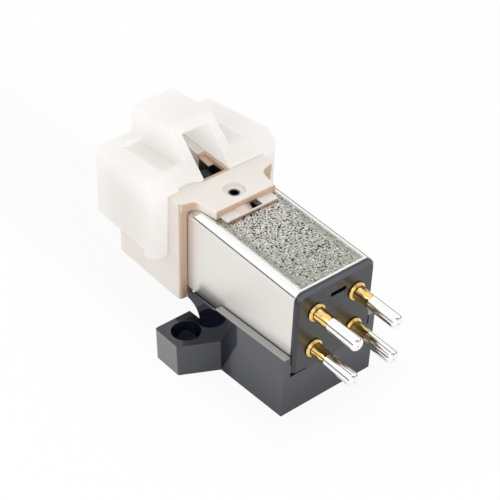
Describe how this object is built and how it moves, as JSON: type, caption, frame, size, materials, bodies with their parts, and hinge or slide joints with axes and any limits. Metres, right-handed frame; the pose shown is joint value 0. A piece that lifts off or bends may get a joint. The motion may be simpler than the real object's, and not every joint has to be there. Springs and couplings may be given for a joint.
{
  "type": "turntable stylus cartridge",
  "caption": "Half-inch-mount phono cartridge with a black base and ears, metal shield can, rear pins, and a pull-off stylus holder with cantilever and clear guard.",
  "frame": {"origin": "midway between the two mounting holes, on the mounting face", "axes": "+Z out of the mounting face through the body towards the stylus side, +Y back towards the terminal pins, +X to the left side seen from the pins with the stylus up"},
  "size_m": [0.0166, 0.0297, 0.0187],
  "materials": {
    "base_plastic": "polished moulding",
    "can_metal": "satin sides, grained top",
    "terminal_plastic": "moulded",
    "bobbin_plastic": "moulded",
    "holder_plastic": "satin moulding",
    "pin_steel": "rolled",
    "sleeve_plastic": "moulded",
    "damper_rubber": "moulded",
    "anchor_brass": "turned",
    "wire_steel": "drawn",
    "cantilever_metal": "drawn tube",
    "stylus_stone": "polished",
    "guard_plastic": "frosted translucent",
    "core_steel": "stamped",
    "magnet_grey": "ground",
    "pin_plating": "plated: gold at the root, silver beyond",
    "coil_copper": "enamelled copper wire"
  },
  "bodies": {
    "cartridge_body": {"mounting_base": "base_plastic", "shield_can": "can_metal", "terminal_block": "terminal_plastic", "coil_carrier": "bobbin_plastic", "pole_core_left": "core_steel", "pole_core_right": "core_steel", "terminal_pin_left_upper": "pin_plating", "terminal_pin_left_lower": "pin_plating", "terminal_pin_right_upper": "pin_plating", "terminal_pin_right_lower": "pin_plating", "coil_bobbin_left_upper": "bobbin_plastic", "coil_bobbin_left_lower": "bobbin_plastic", "coil_bobbin_right_upper": "bobbin_plastic", "coil_bobbin_right_lower": "bobbin_plastic", "coil_winding_left_upper": "coil_copper", "coil_winding_left_lower": "coil_copper", "coil_winding_right_upper": "coil_copper", "coil_winding_right_lower": "coil_copper", "coil_lead_left_upper": "coil_copper", "coil_lead_left_lower": "coil_copper", "coil_lead_right_upper": "coil_copper", "coil_lead_right_lower": "coil_copper"},
    "stylus_unit": {"stylus_holder": "holder_plastic", "roll_pin": "pin_steel", "suspension_sleeve": "sleeve_plastic", "wire_anchor": "anchor_brass"},
    "pivot": {"rubber_damper": "damper_rubber", "tension_wire": "wire_steel"},
    "cantilever": {"cantilever_tube": "cantilever_metal", "stylus_tip": "stylus_stone", "magnet_carrier": "bobbin_plastic", "magnet_left": "magnet_grey", "magnet_right": "magnet_grey"},
    "guard": {"stylus_guard": "guard_plastic"}
  },
  "joints": [
    {"name": "stylus_unit_slide", "type": "slide", "parent": "cartridge_body", "child": "stylus_unit", "axis": [0, -0.9976, 0.0698], "range_m": [0, 0.008]},
    {"name": "guard_slide", "type": "slide", "parent": "stylus_unit", "child": "guard", "axis": [0, -0.9976, 0.0698], "range_m": [0, 0.011]},
    {"name": "cantilever_lateral", "type": "hinge", "parent": "stylus_unit", "child": "pivot", "pos_m": [0, -0.00078, 0.01146], "axis": [0, 0.0698, 0.9976], "range_deg": [-2.5, 2.5], "stiffness_Nm_per_rad": 0.0055},
    {"name": "cantilever_vertical", "type": "hinge", "parent": "pivot", "child": "cantilever", "pos_m": [0, -0.00078, 0.01146], "axis": [1, 0, 0], "range_deg": [-1, 3], "stiffness_Nm_per_rad": 0.0055}
  ]
}
